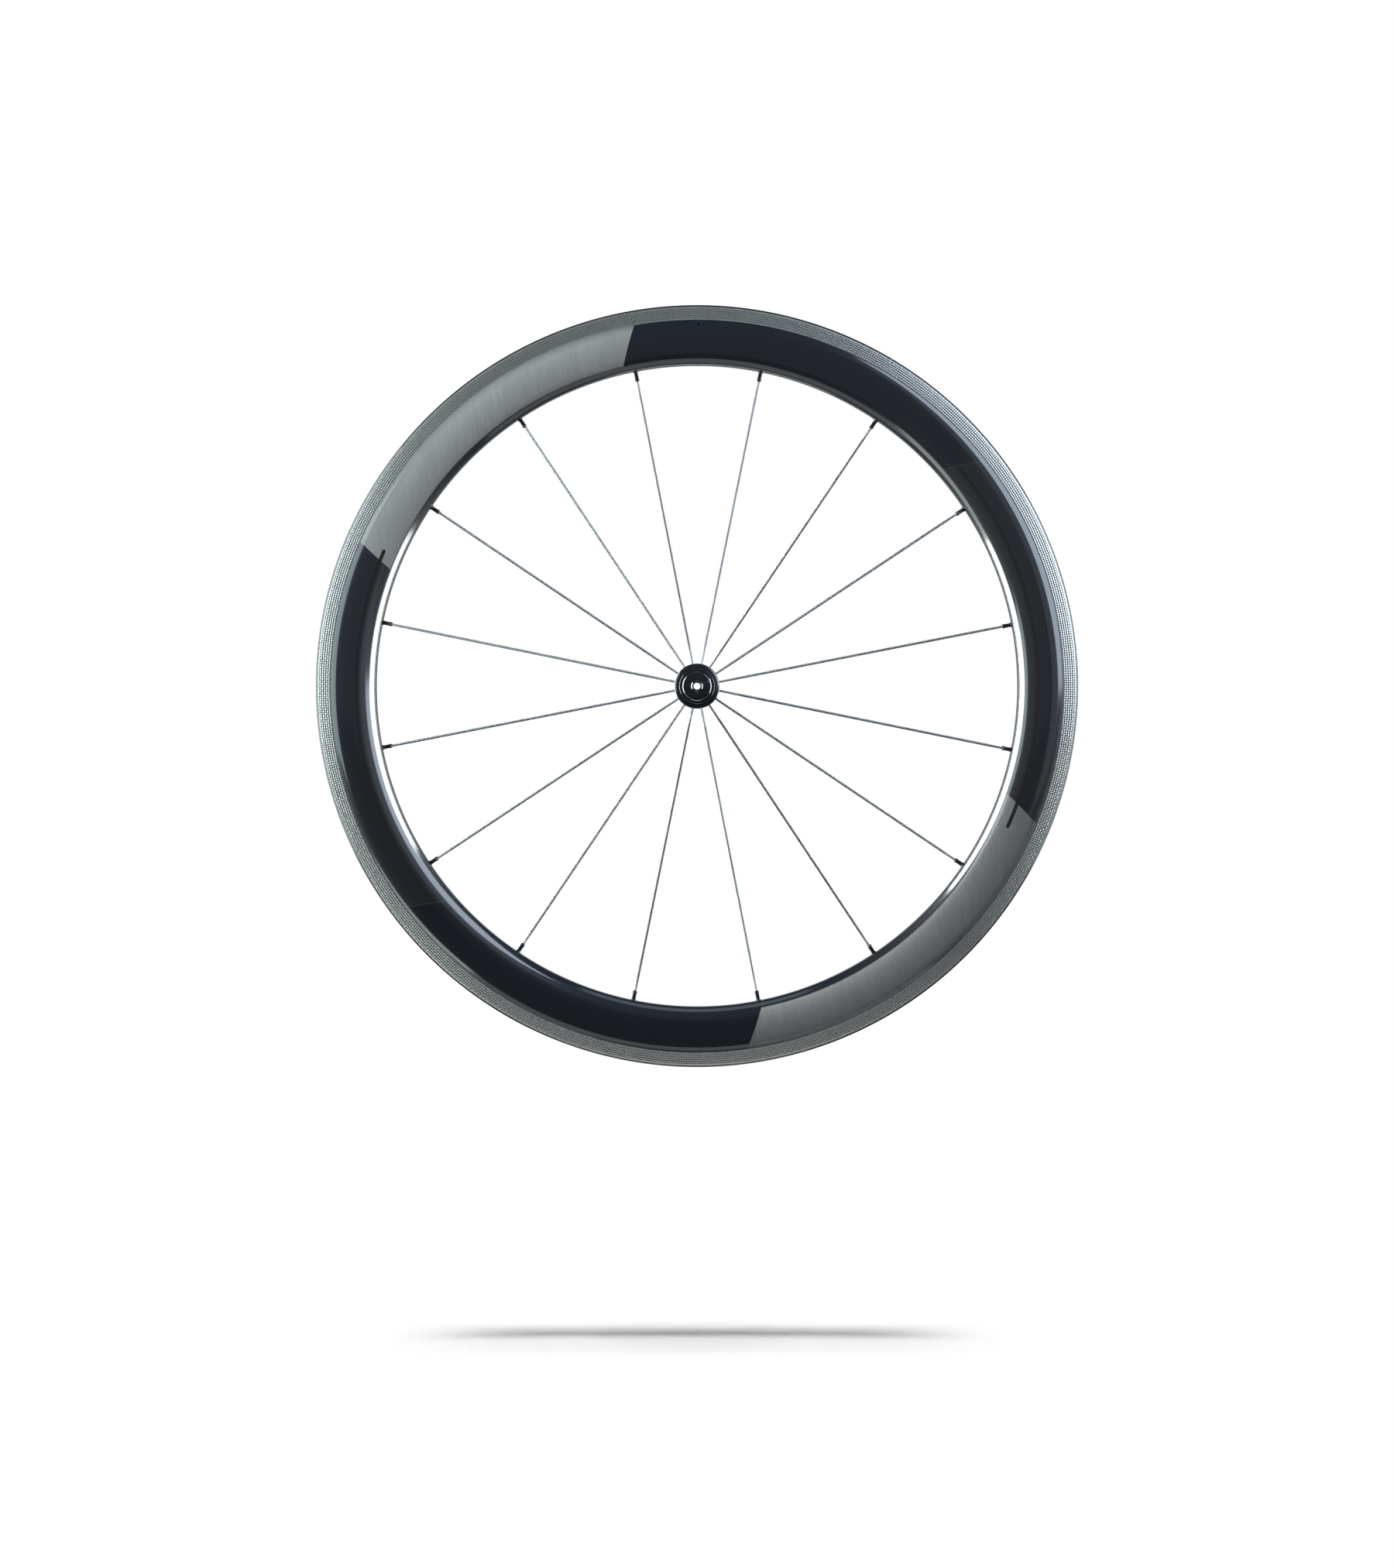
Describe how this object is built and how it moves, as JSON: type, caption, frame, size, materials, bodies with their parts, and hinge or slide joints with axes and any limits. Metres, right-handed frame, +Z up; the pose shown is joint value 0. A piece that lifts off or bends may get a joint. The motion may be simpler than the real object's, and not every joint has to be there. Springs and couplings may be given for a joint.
{
  "type": "bicycle wheel",
  "caption": "Front road bicycle wheel with a deep hollow laminate rim, rim-brake tracks, flat radial spokes and a slim black hub on sealed bearings, without tyre or skewer.",
  "frame": {"origin": "wheel centre on the axle's axis, in the rim's middle plane", "axes": "+Y along the axle to the wheel's left side (the picture looks along +Y at the right side), +Z up through the valve hole, +X to the picture's right"},
  "size_m": [0.6329, 0.109, 0.633],
  "materials": {
    "rim_laminate": "dark fibre laminate, satin to gloss, with silver fields and pale woven brake tracks",
    "spoke_steel": "satin grey steel blade",
    "nipple_metal": "black anodised",
    "hub_black": "gloss black anodised",
    "cap_black": "black anodised with turning marks",
    "axle_metal": "black anodised tube",
    "bearing_steel": "ground bearing steel"
  },
  "bodies": {
    "axle_assembly": {"axle": "axle_metal", "end_caps": "cap_black"},
    "wheel": {"rim": "rim_laminate", "nipples": "nipple_metal", "hub_shell": "hub_black", "bearings": "bearing_steel", "spoke_01": "spoke_steel", "spoke_02": "spoke_steel", "spoke_03": "spoke_steel", "spoke_04": "spoke_steel", "spoke_05": "spoke_steel", "spoke_06": "spoke_steel", "spoke_07": "spoke_steel", "spoke_08": "spoke_steel", "spoke_09": "spoke_steel", "spoke_10": "spoke_steel", "spoke_11": "spoke_steel", "spoke_12": "spoke_steel", "spoke_13": "spoke_steel", "spoke_14": "spoke_steel", "spoke_15": "spoke_steel", "spoke_16": "spoke_steel"}
  },
  "joints": [
    {"name": "wheel_spin", "type": "hinge", "parent": "axle_assembly", "child": "wheel", "pos_m": [0, 0, 0], "axis": [0, 1, 0], "continuous": true}
  ]
}
